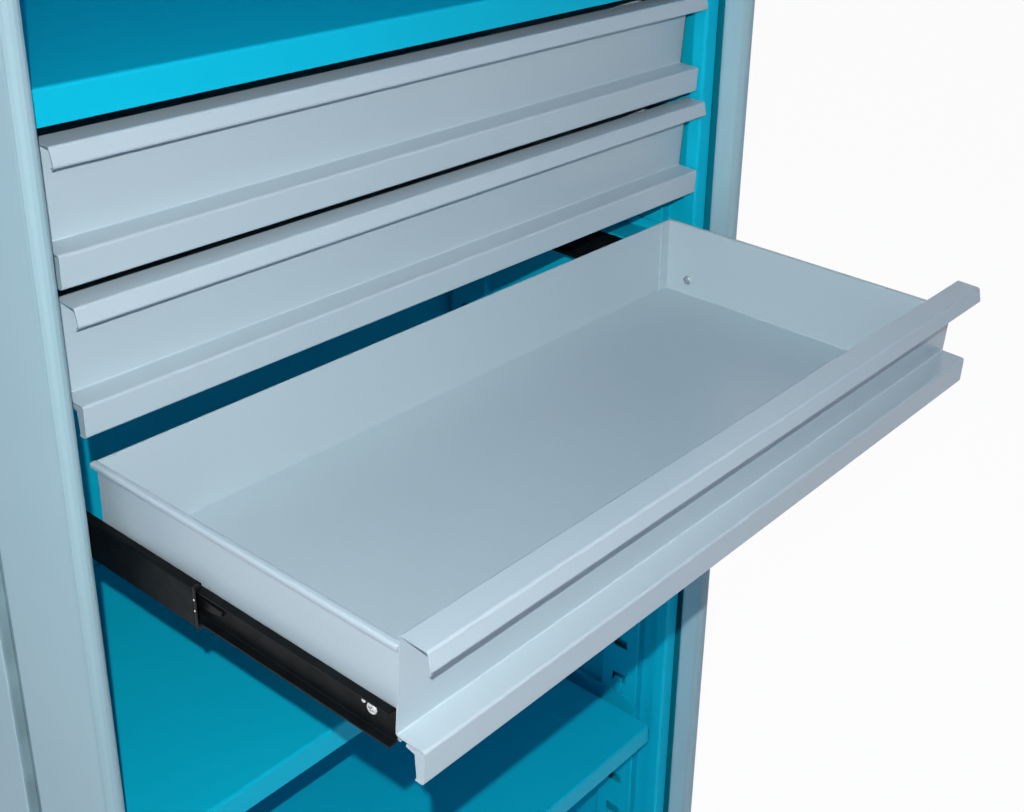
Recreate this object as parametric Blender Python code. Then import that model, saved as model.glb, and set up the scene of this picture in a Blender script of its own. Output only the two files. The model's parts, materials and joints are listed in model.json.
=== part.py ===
"""Steel tool cabinet with three shallow drawers and three shelves.

Lengths are in metres. X runs to the right, Y to the back, Z up. The origin is on the floor,
under the middle of the front plinth's foot flange.
"""

import math

import bmesh
import bpy
from mathutils import Matrix, Vector

# General
SEAT_GAP = 0.0003
OVERRUN = 0.004
SKIN = 0.0012
LINER_SHEET = 0.0010
ARC_STEPS = 4
EDGE_STEPS = 2

# Cabinet
CABINET_HEIGHT = 1.800
CABINET_DEPTH = 0.400
ROOF_HEIGHT = 0.030
ROOF_EDGE_RADIUS = 0.004
BACK_CAVITY = 0.012

# Side pillars and outer side panels
PILLAR_THICKNESS = 0.0135
PILLAR_DEPTH = 0.095
PILLAR_EDGE_RADIUS = 0.0065
FLANK_GAP = 0.002
FLANK_RETURN = 0.007
GROOVE_WIDTH = 0.019
GROOVE_DEPTH = 0.008
LAP = 0.016
SHEET_BEND = 0.0012

# Inner frame
RIGHT_FLANGE_WIDTH = 0.0192
LEFT_FLANGE_WIDTH = 0.0115
FLANGE_RETURN = 0.014
FLANGE_BEND = 0.0022

# Deck, ceiling and plinth
PLINTH_HEIGHT = 0.100
DECK_RIM = 0.030
PLINTH_SETBACK = 0.050
PLINTH_FLANGE = 0.030
PAN_EDGE_RADIUS = 0.0022

# Uprights
UPRIGHT_WIDTH = 0.052
UPRIGHT_DEPTH = 0.0104
FRONT_UPRIGHT_SETBACK = 0.0485
SLOT_LENGTH = 0.020
SLOT_HEIGHT = 0.012
SLOT_PITCH = 0.050
FIRST_SLOT_RISE = 0.040

# Shelves
UPPER_SHELF_RISE = 0.033
MIDDLE_SHELF_TOP = 0.763
LOWER_SHELF_TOP = 0.4705
SHELF_LEFT_CLEARANCE = 0.0045
SHELF_RIGHT_CLEARANCE = 0.0225
SHELF_LIP = 0.023
SHELF_AHEAD = 0.016
SHELF_REAR_GAP = 0.003
BRACKET_LEG = 0.034
BRACKET_BELOW_TOP = 0.002
BRACKET_SHEET = 0.0015

# Drawer fronts, from the fold at the top of the main panel
FRONT_WIDTH = 0.650
FRONT_SIDE_GAP = 0.002
FRONTS_BEHIND_PILLARS = 0.054
FRONTS_BEHIND_FLANGE = 0.0215
TOP_DRAWER_TOP = 1.310
DRAWER_PITCH = 0.100
DRAWER_SHEET = 0.0010
GRIP_REACH = 0.0207
GRIP_FALL = 0.0007
LIP_REACH = 0.0234
LIP_DROP = 0.0142
LIP_CURL = 0.0030
PANEL_LEAN = 0.0048
PANEL_DROP = 0.0687
LEDGE_REACH = 0.0165
LEDGE_FALL = 0.0009
APRON_REACH = 0.0156
APRON_DROP = 0.0926
APRON_RETURN = 0.0068
FRONT_BEND = 0.0010
END_TAB_DEPTH = 0.008
END_TAB_TAPER = 0.002
END_TAB_BELOW_LEDGE = 0.0012
END_TAB_EAR_DEPTH = 0.0145
END_TAB_EAR_HEIGHT = 0.0016
END_TAB_EAR_SLOPE = 0.0014

# Drawer trays
TRAY_LEFT_INSET = 0.0035
TRAY_RIGHT_INSET = 0.0437
TRAY_LENGTH = 0.2805
TRAY_TOP_DROP = 0.0078
TRAY_FLOOR_DROP = 0.0779
TRAY_HEM = 0.0044
TRAY_HEM_DROP = 0.0030
TRAY_CORNER_STRIP = 0.012
TRAY_BEND = 0.0008

# Telescopic runners
RUNNER_TRAVEL = 0.304
REST_PULLS = (0.0, 0.0055, RUNNER_TRAVEL)
RUNNER_DEPTH = 0.0124
RUNNER_DROP = 0.0655
RUNNER_BEND = 0.0006
OUTER_HEIGHT = 0.0350
OUTER_LIP = 0.0100
OUTER_SETBACK = 0.006
OUTER_LENGTH = 0.300
RUNNER_TAIL = 0.013
MIDDLE_HEIGHT = 0.0300
MIDDLE_LIP = 0.0066
MIDDLE_SETBACK = 0.0245
MIDDLE_LENGTH = 0.280
MIDDLE_CLEARANCE = 0.0028
INNER_HEIGHT = 0.0240
INNER_LIP = 0.0066
INNER_SETBACK = 0.0075
INNER_LENGTH = 0.273
RUNNER_SHEET = 0.0012
STANDOFF_FLANGE = 0.010

# Screws that hold the runners to the trays
SCREW_HEAD_RADIUS = 0.0042
SCREW_HEAD_HEIGHT = 0.0022
SCREW_SHANK_RADIUS = 0.0018
SCREW_SHANK_LENGTH = 0.0042
SCREW_SEGMENTS = 16
SCREW_DOME_RINGS = 3
LEFT_SCREW_SETBACK = 0.0247
RIGHT_SCREW_SETBACK = 0.253
SCREW_DROP = 0.0620

# Places worked out from the sizes above
TRAY_FRONT = PANEL_LEAN + DRAWER_SHEET + SEAT_GAP
HALF_FRONT = FRONT_WIDTH / 2
LINER_FACE = HALF_FRONT + FRONT_SIDE_GAP + RIGHT_FLANGE_WIDTH
PILLAR_INNER = LINER_FACE + SEAT_GAP
HALF_WIDTH = PILLAR_INNER + PILLAR_THICKNESS
PILLAR_FRONT = -(PLINTH_SETBACK + PLINTH_FLANGE / 2)
FRONTS_Y = PILLAR_FRONT + FRONTS_BEHIND_PILLARS
FRAME_Y = FRONTS_Y - FRONTS_BEHIND_FLANGE
BACK_Y = PILLAR_FRONT + CABINET_DEPTH
WALLS_TOP = CABINET_HEIGHT - ROOF_HEIGHT - SEAT_GAP
LINER_REAR = BACK_Y - SKIN - SEAT_GAP
BACK_LINER_Y = BACK_Y - SKIN - BACK_CAVITY
LINER_FOOT = PLINTH_HEIGHT + SEAT_GAP
CEILING_Z = WALLS_TOP - SEAT_GAP - DECK_RIM
LINER_TOP = CEILING_Z - SEAT_GAP
WEB_FACE = LINER_FACE - LINER_SHEET - SEAT_GAP - UPRIGHT_DEPTH
FRONT_UPRIGHT_Y = FRONTS_Y + FRONT_UPRIGHT_SETBACK
REAR_UPRIGHT_Y = FRONTS_Y + OUTER_SETBACK + OUTER_LENGTH - RUNNER_TAIL
TRAY_LEFT = -HALF_FRONT + TRAY_LEFT_INSET
TRAY_RIGHT = HALF_FRONT - TRAY_RIGHT_INSET
UPPER_SHELF_TOP = TOP_DRAWER_TOP + UPPER_SHELF_RISE


def clear_scene():
    for thing in list(bpy.data.objects):
        bpy.data.objects.remove(thing, do_unlink=True)


def surface(name, colour, roughness, metallic=0.0):
    """A Principled material with one colour, roughness and metallic value."""
    material = bpy.data.materials.new(name)
    material.use_nodes = True
    shader = material.node_tree.nodes["Principled BSDF"]
    shader.inputs["Base Color"].default_value = (*colour, 1.0)
    shader.inputs["Roughness"].default_value = roughness
    shader.inputs["Metallic"].default_value = metallic
    material.diffuse_color = (*colour, 1.0)
    return material


def bent_outline(path, thickness, bend):
    """The closed outline of a sheet that follows a middle line, with its bends rounded."""
    middle = []
    points = [Vector(point) for point in path]
    for index, point in enumerate(points):
        before = (point - points[index - 1]).normalized() if index else None
        after = (points[index + 1] - point).normalized() if index + 1 < len(points) else None
        if before is None or after is None:
            along = after or before
            middle.append((point, Vector((-along.y, along.x))))
            continue
        turn = math.atan2(before.x * after.y - before.y * after.x, before.dot(after))
        if abs(turn) < math.radians(1):
            continue
        radius = bend + thickness / 2
        side = math.copysign(1, turn)
        start = point - before * radius * math.tan(abs(turn) / 2)
        centre = start + Vector((-before.y, before.x)) * radius * side
        steps = max(2, round(ARC_STEPS * abs(turn) / (math.pi / 2)))
        for step in range(steps + 1):
            angle = turn * step / steps
            normal = Vector((-before.y, before.x))
            normal.rotate(Matrix.Rotation(angle, 2))
            middle.append((centre - normal * radius * side, normal))
    left = [point + normal * thickness / 2 for point, normal in middle]
    right = [point - normal * thickness / 2 for point, normal in middle]
    return left + right[::-1]


def new_object(name, mesh, material, parent=None):
    thing = bpy.data.objects.new(name, mesh)
    bpy.context.scene.collection.objects.link(thing)
    if material and not mesh.materials:
        mesh.materials.append(material)
    thing.parent = parent
    return thing


def mesh_from(bm, name):
    bmesh.ops.recalc_face_normals(bm, faces=bm.faces)
    if bm.calc_volume(signed=True) < 0:
        bmesh.ops.reverse_faces(bm, faces=bm.faces)
    mesh = bpy.data.meshes.new(name)
    bm.to_mesh(mesh)
    bm.free()
    return mesh


def extruded(name, outline, axis, start, end):
    """A mesh that carries a flat outline along one axis. The outline gives the other two in XYZ order."""
    spot = {
        "X": lambda a, b: (start, a, b),
        "Y": lambda a, b: (a, start, b),
        "Z": lambda a, b: (a, b, start),
    }[axis]
    along = Vector([end - start if axis == letter else 0 for letter in "XYZ"])
    bm = bmesh.new()
    face = bm.faces.new([bm.verts.new(spot(a, b)) for a, b in outline])
    lifted = bmesh.ops.extrude_face_region(bm, geom=[face])["geom"]
    bmesh.ops.translate(
        bm, vec=along, verts=[v for v in lifted if isinstance(v, bmesh.types.BMVert)]
    )
    return mesh_from(bm, name)


def sheet(name, path, thickness, bend, axis, start, end):
    return extruded(name, bent_outline(path, thickness, bend), axis, start, end)


def block(name, low, high, radius=0.0, opening=0):
    """A box mesh. With a radius its edges are rounded, but not those of the side at its opening."""
    bm = bmesh.new()
    bmesh.ops.create_cube(bm, size=1.0)
    low, high = Vector(low), Vector(high)
    for vert in bm.verts:
        vert.co = low + Vector([(vert.co[i] + 0.5) * (high[i] - low[i]) for i in range(3)])
    if radius:
        rim = high.z if opening > 0 else low.z
        edges = [edge for edge in bm.edges if any(abs(vert.co.z - rim) > radius for vert in edge.verts)]
        bmesh.ops.bevel(
            bm, geom=edges, offset=radius, segments=EDGE_STEPS, affect="EDGES", profile=0.5
        )
    return mesh_from(bm, name)


def combined(target, tool_mesh, operation):
    """Applies one Boolean to an object and drops the tool."""
    tool = bpy.data.objects.new(f"{target.name}_tool", tool_mesh)
    bpy.context.scene.collection.objects.link(tool)
    tool.hide_render = True
    tool.display_type = "WIRE"
    modifier = target.modifiers.new(operation.lower(), "BOOLEAN")
    modifier.operation = operation
    modifier.object = tool
    bpy.context.view_layer.update()
    graph = bpy.context.evaluated_depsgraph_get()
    mesh = bpy.data.meshes.new_from_object(target.evaluated_get(graph))
    target.modifiers.clear()
    target.data = mesh
    bpy.data.objects.remove(tool, do_unlink=True)
    return target


def smooth(mesh, angle=30):
    mesh.shade_smooth()
    mesh.set_sharp_from_angle(angle=math.radians(angle))


def open_pan(name, low, high, thickness, opening, material, radius):
    """A folded pan with four rims, open at its top (+1) or at its underside (-1)."""
    low, high = Vector(low), Vector(high)
    pan = new_object(name, block(name, low, high, radius, opening), material)
    wall = Vector([thickness] * 3)
    inner_low, inner_high = low + wall, high - wall
    if opening > 0:
        inner_high.z = high.z + OVERRUN
    else:
        inner_low.z = low.z - OVERRUN
    hollow = block(f"{name}_hollow", inner_low, inner_high, radius - thickness, opening)
    combined(pan, hollow, "DIFFERENCE")
    smooth(pan.data)
    return pan


def pillar(name, side, material):
    """A folded post: a short inner flank, a rounded nose, and a sunk lap for the side panel."""
    outer = side * (HALF_WIDTH - SKIN / 2)
    inner = side * (PILLAR_INNER + SKIN / 2)
    sunk = side * (HALF_WIDTH - GROOVE_DEPTH - SKIN / 2)
    nose = PILLAR_FRONT + SKIN / 2
    rear = PILLAR_FRONT + PILLAR_DEPTH
    inside = PILLAR_EDGE_RADIUS - SKIN
    edge = FRAME_Y - FLANK_GAP - SKIN / 2
    path = [
        (inner + side * FLANK_RETURN, edge),
        (inner, edge),
        (inner, nose),
        (outer, nose),
        (outer, rear - GROOVE_DEPTH),
    ]
    post = new_object(name, sheet(name, path, SKIN, inside, "Z", 0.0, WALLS_TOP), material)
    lap = sheet(
        f"{name}_lap",
        [
            (outer, rear - GROOVE_DEPTH - OVERRUN),
            (outer, rear),
            (sunk, rear),
            (sunk, rear + GROOVE_WIDTH + LAP),
        ],
        SKIN,
        SHEET_BEND,
        "Z",
        0.0,
        WALLS_TOP,
    )
    combined(post, lap, "UNION")
    smooth(post.data)
    return post


def side_panel(name, side, material):
    """The outer side sheet, turned in at the groove and at the back."""
    outer = side * (HALF_WIDTH - SKIN / 2)
    front = PILLAR_FRONT + PILLAR_DEPTH + GROOVE_WIDTH + SKIN / 2
    rear = BACK_Y - SKIN - SEAT_GAP - SKIN / 2
    front_turn = side * (HALF_WIDTH - GROOVE_DEPTH + SEAT_GAP)
    rear_turn = side * (LINER_FACE + SEAT_GAP)
    path = [(front_turn, front), (outer, front), (outer, rear), (rear_turn, rear)]
    panel = new_object(name, sheet(name, path, SKIN, SHEET_BEND, "Z", 0.0, WALLS_TOP), material)
    smooth(panel.data)
    return panel


def side_liner(name, side, flange_width, material):
    """The coloured inner wall with the front flange and its return."""
    wall = side * (LINER_FACE - LINER_SHEET / 2)
    edge = side * (LINER_FACE - flange_width + LINER_SHEET / 2)
    front = FRAME_Y + LINER_SHEET / 2
    path = [(wall, LINER_REAR), (wall, front), (edge, front), (edge, FRAME_Y + FLANGE_RETURN)]
    liner = new_object(
        name, sheet(name, path, LINER_SHEET, FLANGE_BEND, "Z", LINER_FOOT, LINER_TOP), material
    )
    smooth(liner.data)
    return liner


def back_skins(grey, colour):
    """The outer back panel and the coloured back wall in front of it."""
    outer = new_object(
        "back_panel",
        block("back_panel", (-HALF_WIDTH, BACK_Y - SKIN, 0.0), (HALF_WIDTH, BACK_Y, WALLS_TOP)),
        grey,
    )
    half = LINER_FACE - LINER_SHEET - SEAT_GAP
    edge = half - LINER_SHEET / 2
    face = BACK_LINER_Y + LINER_SHEET / 2
    path = [(-edge, LINER_REAR), (-edge, face), (edge, face), (edge, LINER_REAR)]
    inner = new_object(
        "back_liner",
        sheet("back_liner", path, LINER_SHEET, FLANGE_BEND, "Z", LINER_FOOT, LINER_TOP),
        colour,
    )
    return outer, inner


def roof(grey):
    low = (-HALF_WIDTH, PILLAR_FRONT, CABINET_HEIGHT - ROOF_HEIGHT)
    high = (HALF_WIDTH, BACK_Y, CABINET_HEIGHT)
    open_pan("roof", low, high, SKIN, -1, grey, ROOF_EDGE_RADIUS)


def deck_and_ceiling(colour):
    """The floor pan, open below, and the ceiling pan, open above."""
    for name, foot, opening in (
        ("floor_deck", PLINTH_HEIGHT - DECK_RIM, -1),
        ("ceiling", CEILING_Z, 1),
    ):
        low = (-LINER_FACE, FRAME_Y, foot)
        high = (LINER_FACE, LINER_REAR, foot + DECK_RIM)
        open_pan(name, low, high, LINER_SHEET, opening, colour, PAN_EDGE_RADIUS)


def plinths(grey):
    """Front and rear kick plates, each a channel with a foot flange on the floor."""
    top = PLINTH_HEIGHT - DECK_RIM - SEAT_GAP - SKIN / 2
    front = PILLAR_FRONT + PLINTH_SETBACK
    rear = LINER_REAR
    half = LINER_FACE
    for name, web, inward in (("plinth_front", front, 1), ("plinth_rear", rear, -1)):
        face = web + inward * SKIN / 2
        tip = web + inward * PLINTH_FLANGE
        path = [(tip, top), (face, top), (face, SKIN / 2), (tip, SKIN / 2)]
        plate = new_object(name, sheet(name, path, SKIN, SHEET_BEND, "X", -half, half), grey)
        smooth(plate.data)


def slot_heights():
    heights = []
    height = LINER_FOOT + FIRST_SLOT_RISE
    while height + SLOT_HEIGHT < LINER_TOP - SLOT_PITCH / 2:
        heights.append(height)
        height += SLOT_PITCH
    return heights


def upright(name, side, centre, material):
    """A shallow perforated channel with its web facing into the cabinet."""
    web = side * (WEB_FACE + LINER_SHEET / 2)
    tip = side * (WEB_FACE + UPRIGHT_DEPTH)
    half = UPRIGHT_WIDTH / 2 - LINER_SHEET / 2
    path = [(tip, centre - half), (web, centre - half), (web, centre + half), (tip, centre + half)]
    bottom, top = LINER_FOOT, LINER_TOP - SEAT_GAP
    post = new_object(name, sheet(name, path, LINER_SHEET, SHEET_BEND, "Z", bottom, top), material)
    bm = bmesh.new()
    for height in slot_heights():
        cube = bmesh.ops.create_cube(bm, size=1.0)["verts"]
        for vert in cube:
            vert.co.x = web + vert.co.x * (LINER_SHEET + OVERRUN)
            vert.co.y = centre + vert.co.y * SLOT_LENGTH
            vert.co.z = height + vert.co.z * SLOT_HEIGHT
    combined(post, mesh_from(bm, f"{name}_slots"), "DIFFERENCE")
    smooth(post.data)
    return post


def shelf(name, top, colour):
    """A shelf pan with its four rims turned down, and an angle that carries each end."""
    left, right = -WEB_FACE + SHELF_LEFT_CLEARANCE, WEB_FACE - SHELF_RIGHT_CLEARANCE
    front = FRONTS_Y - SHELF_AHEAD
    rear = BACK_LINER_Y - SHELF_REAR_GAP
    low, high = (left, front, top - SHELF_LIP), (right, rear, top)
    open_pan(name, low, high, LINER_SHEET, -1, colour, PAN_EDGE_RADIUS)
    level = top - SHELF_LIP - SEAT_GAP - BRACKET_SHEET / 2
    for label, side in (("left", -1), ("right", 1)):
        leg = side * (WEB_FACE - SEAT_GAP - BRACKET_SHEET / 2)
        tip = side * (WEB_FACE - BRACKET_LEG)
        bracket_name = f"{name}_{label}_bracket"
        path = [(leg, top - BRACKET_BELOW_TOP), (leg, level), (tip, level)]
        bracket = sheet(
            bracket_name,
            path,
            BRACKET_SHEET,
            SHEET_BEND,
            "Y",
            FRONT_UPRIGHT_Y - UPRIGHT_WIDTH / 2,
            REAR_UPRIGHT_Y + UPRIGHT_WIDTH / 2,
        )
        smooth(bracket)
        new_object(bracket_name, bracket, colour)


def screw_mesh(name, side):
    """A pan-head screw along X. Its seat is at the origin and its head points to the given side."""
    bm = bmesh.new()
    rings = [(-SCREW_SHANK_LENGTH, SCREW_SHANK_RADIUS), (0.0, SCREW_SHANK_RADIUS)]
    rings.append((0.0, SCREW_HEAD_RADIUS))
    for ring in range(SCREW_DOME_RINGS):
        angle = math.pi / 2 * ring / SCREW_DOME_RINGS
        rings.append(
            (
                SCREW_HEAD_HEIGHT * (0.5 + math.sin(angle) / 2),
                SCREW_HEAD_RADIUS * math.cos(angle),
            )
        )
    loops = []
    for reach, radius in rings:
        loops.append(
            [
                bm.verts.new(
                    (
                        side * reach,
                        radius * math.cos(math.tau * step / SCREW_SEGMENTS),
                        radius * math.sin(math.tau * step / SCREW_SEGMENTS),
                    )
                )
                for step in range(SCREW_SEGMENTS)
            ]
        )
    for lower, upper in zip(loops, loops[1:]):
        for step in range(SCREW_SEGMENTS):
            following = (step + 1) % SCREW_SEGMENTS
            bm.faces.new((lower[step], lower[following], upper[following], upper[step]))
    bm.faces.new(loops[0])
    bm.faces.new(loops[-1])
    mesh = mesh_from(bm, name)
    smooth(mesh, 40)
    return mesh


def hole_mesh(name, x, y, z, length):
    """A round cutter along X with the screw's clearance."""
    bm = bmesh.new()
    bmesh.ops.create_cone(
        bm,
        cap_ends=True,
        segments=SCREW_SEGMENTS,
        radius1=SCREW_SHANK_RADIUS + SEAT_GAP,
        radius2=SCREW_SHANK_RADIUS + SEAT_GAP,
        depth=length,
    )
    for vert in bm.verts:
        vert.co = Vector((x + vert.co.z, y + vert.co.x, z + vert.co.y))
    return mesh_from(bm, name)


def drawer_front_mesh(paint):
    """One folded strip: curled lip, grip, leaning panel, ledge, apron and bottom return, with end tabs."""
    half = DRAWER_SHEET / 2
    path = [
        (-LIP_REACH + LIP_CURL, -LIP_DROP + half),
        (-LIP_REACH + half, -LIP_DROP + half),
        (-GRIP_REACH + half, -GRIP_FALL - half),
        (half, -half),
        (PANEL_LEAN + half, -PANEL_DROP - half),
        (-LEDGE_REACH + half, -PANEL_DROP - LEDGE_FALL - half),
        (-APRON_REACH + half, -APRON_DROP + half),
        (-APRON_REACH + APRON_RETURN, -APRON_DROP + half),
    ]
    front = new_object(
        "drawer_front_blank",
        sheet("drawer_front", path, DRAWER_SHEET, FRONT_BEND, "X", -HALF_FRONT, HALF_FRONT),
        paint,
    )
    tab_top = -PANEL_DROP - LEDGE_FALL - DRAWER_SHEET - END_TAB_BELOW_LEDGE
    ear_foot = tab_top - END_TAB_EAR_HEIGHT
    tab_foot = -APRON_DROP + DRAWER_SHEET + half
    tab = [
        (-LEDGE_REACH + half, tab_top),
        (-LEDGE_REACH + END_TAB_EAR_DEPTH, tab_top),
        (-LEDGE_REACH + END_TAB_EAR_DEPTH, ear_foot),
        (-LEDGE_REACH + END_TAB_DEPTH, ear_foot - END_TAB_EAR_SLOPE),
        (-APRON_REACH + END_TAB_DEPTH - END_TAB_TAPER, tab_foot - half),
        (-APRON_REACH + half, tab_foot - half),
    ]
    for side in (-1, 1):
        near = side * HALF_FRONT - side * SEAT_GAP
        far = near - side * DRAWER_SHEET
        piece = extruded("end_tab", tab, "X", min(near, far), max(near, far))
        combined(front, piece, "UNION")
    mesh = front.data
    bpy.data.objects.remove(front, do_unlink=True)
    smooth(mesh)
    return mesh


def tray_mesh(paint):
    """A floor and two hemmed side walls bent from one sheet, cut to the panel's lean, with end walls."""
    half = DRAWER_SHEET / 2
    panel_back = DRAWER_SHEET + SEAT_GAP
    rear = TRAY_LENGTH
    top = -TRAY_TOP_DROP - half
    floor = -TRAY_FLOOR_DROP + half
    left, right = TRAY_LEFT + half, TRAY_RIGHT - half
    path = [
        (left - TRAY_HEM, top - TRAY_HEM_DROP),
        (left - TRAY_HEM, top),
        (left, top),
        (left, floor),
        (right, floor),
        (right, top),
        (right + TRAY_HEM, top),
        (right + TRAY_HEM, top - TRAY_HEM_DROP),
    ]
    tray = new_object(
        "tray_blank", sheet("tray", path, DRAWER_SHEET, TRAY_BEND, "Y", panel_back, rear), paint
    )
    lean = PANEL_LEAN / PANEL_DROP
    slant = [
        (panel_back - OVERRUN, OVERRUN),
        (panel_back - lean * OVERRUN, OVERRUN),
        (panel_back + lean * APRON_DROP, -APRON_DROP),
        (panel_back - OVERRUN, -APRON_DROP),
    ]
    cut = extruded("slant", slant, "X", -HALF_FRONT - OVERRUN, HALF_FRONT + OVERRUN)
    combined(tray, cut, "DIFFERENCE")
    front_wall = (TRAY_FRONT, TRAY_FRONT + DRAWER_SHEET)
    rear_wall = (rear - 2 * DRAWER_SHEET, rear - DRAWER_SHEET)
    for start, end in (front_wall, rear_wall):
        wall = block("end_wall", (left, start + half / 2, floor), (right, end + half / 2, top + half))
        combined(tray, wall, "UNION")
    strip_front = rear - 3 * DRAWER_SHEET
    for edge, side in ((left, 1), (right, -1)):
        far = edge + side * TRAY_CORNER_STRIP
        strip = block(
            "corner_strip",
            (min(edge, far), strip_front + half / 2, floor),
            (max(edge, far), rear - DRAWER_SHEET, top),
        )
        combined(tray, strip, "UNION")
    for x, setback in ((TRAY_LEFT, LEFT_SCREW_SETBACK), (TRAY_RIGHT, RIGHT_SCREW_SETBACK)):
        combined(tray, hole_mesh("screw_hole", x, setback, -SCREW_DROP, OVERRUN), "DIFFERENCE")
    mesh = tray.data
    bpy.data.objects.remove(tray, do_unlink=True)
    smooth(mesh)
    return mesh


def runner_places(side):
    """X of a runner's faces: against the tray wall, and on the cabinet side."""
    wall = TRAY_RIGHT if side > 0 else TRAY_LEFT
    tray_face = wall + side * SEAT_GAP
    return tray_face, tray_face + side * RUNNER_DEPTH


def channel(name, web, tip, height, start, length, held_height=0.0):
    """A runner member: a web with two lips. The lips curl in until they reach the member held inside."""
    half = height / 2 - RUNNER_SHEET / 2
    path = [(tip, half), (web, half), (web, -half), (tip, -half)]
    if held_height:
        curl = held_height / 2 + SEAT_GAP
        path = [(tip, curl), *path, (tip, -curl)]
    path = [(x, z - RUNNER_DROP) for x, z in path]
    mesh = sheet(name, path, RUNNER_SHEET, RUNNER_BEND, "Y", start, start + length)
    smooth(mesh)
    return mesh


def outer_member(side):
    tray_face, cabinet_face = runner_places(side)
    web = cabinet_face - side * RUNNER_SHEET / 2
    tip = cabinet_face - side * (OUTER_LIP - RUNNER_SHEET / 2)
    return channel(
        "outer_member", web, tip, OUTER_HEIGHT, OUTER_SETBACK, OUTER_LENGTH, MIDDLE_HEIGHT
    )


def middle_member(side):
    tray_face, cabinet_face = runner_places(side)
    web = cabinet_face - side * (RUNNER_SHEET + MIDDLE_CLEARANCE + RUNNER_SHEET / 2)
    tip = web - side * (MIDDLE_LIP - RUNNER_SHEET / 2)
    return channel(
        "middle_member", web, tip, MIDDLE_HEIGHT, MIDDLE_SETBACK, MIDDLE_LENGTH, INNER_HEIGHT
    )


def inner_member(side, material):
    tray_face, cabinet_face = runner_places(side)
    web = tray_face + side * RUNNER_SHEET / 2
    tip = tray_face + side * INNER_LIP
    member = new_object(
        "member_blank",
        channel("inner_member", web, tip, INNER_HEIGHT, INNER_SETBACK, INNER_LENGTH),
        material,
    )
    setback = RIGHT_SCREW_SETBACK if side > 0 else LEFT_SCREW_SETBACK
    combined(member, hole_mesh("screw_hole", web, setback, -SCREW_DROP, OVERRUN), "DIFFERENCE")
    mesh = member.data
    bpy.data.objects.remove(member, do_unlink=True)
    smooth(mesh)
    return mesh


def standoff():
    """The deep hat channel that carries each right-hand runner on the uprights."""
    tray_face, cabinet_face = runner_places(1)
    web = cabinet_face + SEAT_GAP + BRACKET_SHEET / 2
    foot = WEB_FACE - SEAT_GAP - BRACKET_SHEET / 2
    half = OUTER_HEIGHT / 2 - BRACKET_SHEET / 2
    path = [
        (foot, half + STANDOFF_FLANGE),
        (foot, half),
        (web, half),
        (web, -half),
        (foot, -half),
        (foot, -half - STANDOFF_FLANGE),
    ]
    path = [(x, z - RUNNER_DROP) for x, z in path]
    start = FRONT_UPRIGHT_SETBACK - UPRIGHT_WIDTH / 2
    end = REAR_UPRIGHT_Y + UPRIGHT_WIDTH / 2 - FRONTS_Y
    mesh = sheet("runner_bracket", path, BRACKET_SHEET, SHEET_BEND, "Y", start, end)
    smooth(mesh)
    return mesh


def axis_empty(name, y, z):
    empty = bpy.data.objects.new(name, None)
    bpy.context.scene.collection.objects.link(empty)
    empty.location = (0.0, y, z)
    return empty


def drawers(paint, black, zinc, colour):
    """Three like drawers. Each has a fixed, a half-travelling and a travelling set of pieces."""
    front_mesh = drawer_front_mesh(paint)
    box_mesh = tray_mesh(paint)
    standoff_mesh = standoff()
    sides = (("left", -1), ("right", 1))
    outer = {side: outer_member(side) for _, side in sides}
    middle = {side: middle_member(side) for _, side in sides}
    inner = {side: inner_member(side, black) for _, side in sides}
    left_screw = screw_mesh("left_runner_screw", -1)
    right_screw = screw_mesh("right_runner_screw", -1)
    for number, pull in enumerate(REST_PULLS, start=1):
        level = TOP_DRAWER_TOP - (number - 1) * DRAWER_PITCH
        label = f"drawer_{number}"
        fixed = axis_empty(f"{label}_fixed", FRONTS_Y, level)
        half_way = axis_empty(f"{label}_half_travel", FRONTS_Y - pull / 2, level)
        moving = axis_empty(f"{label}_travel", FRONTS_Y - pull, level)
        new_object(f"{label}_front", front_mesh, paint, moving)
        new_object(f"{label}_tray", box_mesh, paint, moving)
        new_object(f"{label}_right_runner_bracket", standoff_mesh, colour, fixed)
        for word, side in sides:
            new_object(f"{label}_{word}_runner_outer", outer[side], black, fixed)
            new_object(f"{label}_{word}_runner_middle", middle[side], black, half_way)
            new_object(f"{label}_{word}_runner_inner", inner[side], black, moving)
        tray_face, _ = runner_places(-1)
        screw = new_object(f"{label}_left_screw", left_screw, zinc, moving)
        screw.location = (tray_face - RUNNER_SHEET - SEAT_GAP, LEFT_SCREW_SETBACK, -SCREW_DROP)
        screw = new_object(f"{label}_right_screw", right_screw, zinc, moving)
        screw.location = (TRAY_RIGHT - DRAWER_SHEET - SEAT_GAP, RIGHT_SCREW_SETBACK, -SCREW_DROP)


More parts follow.
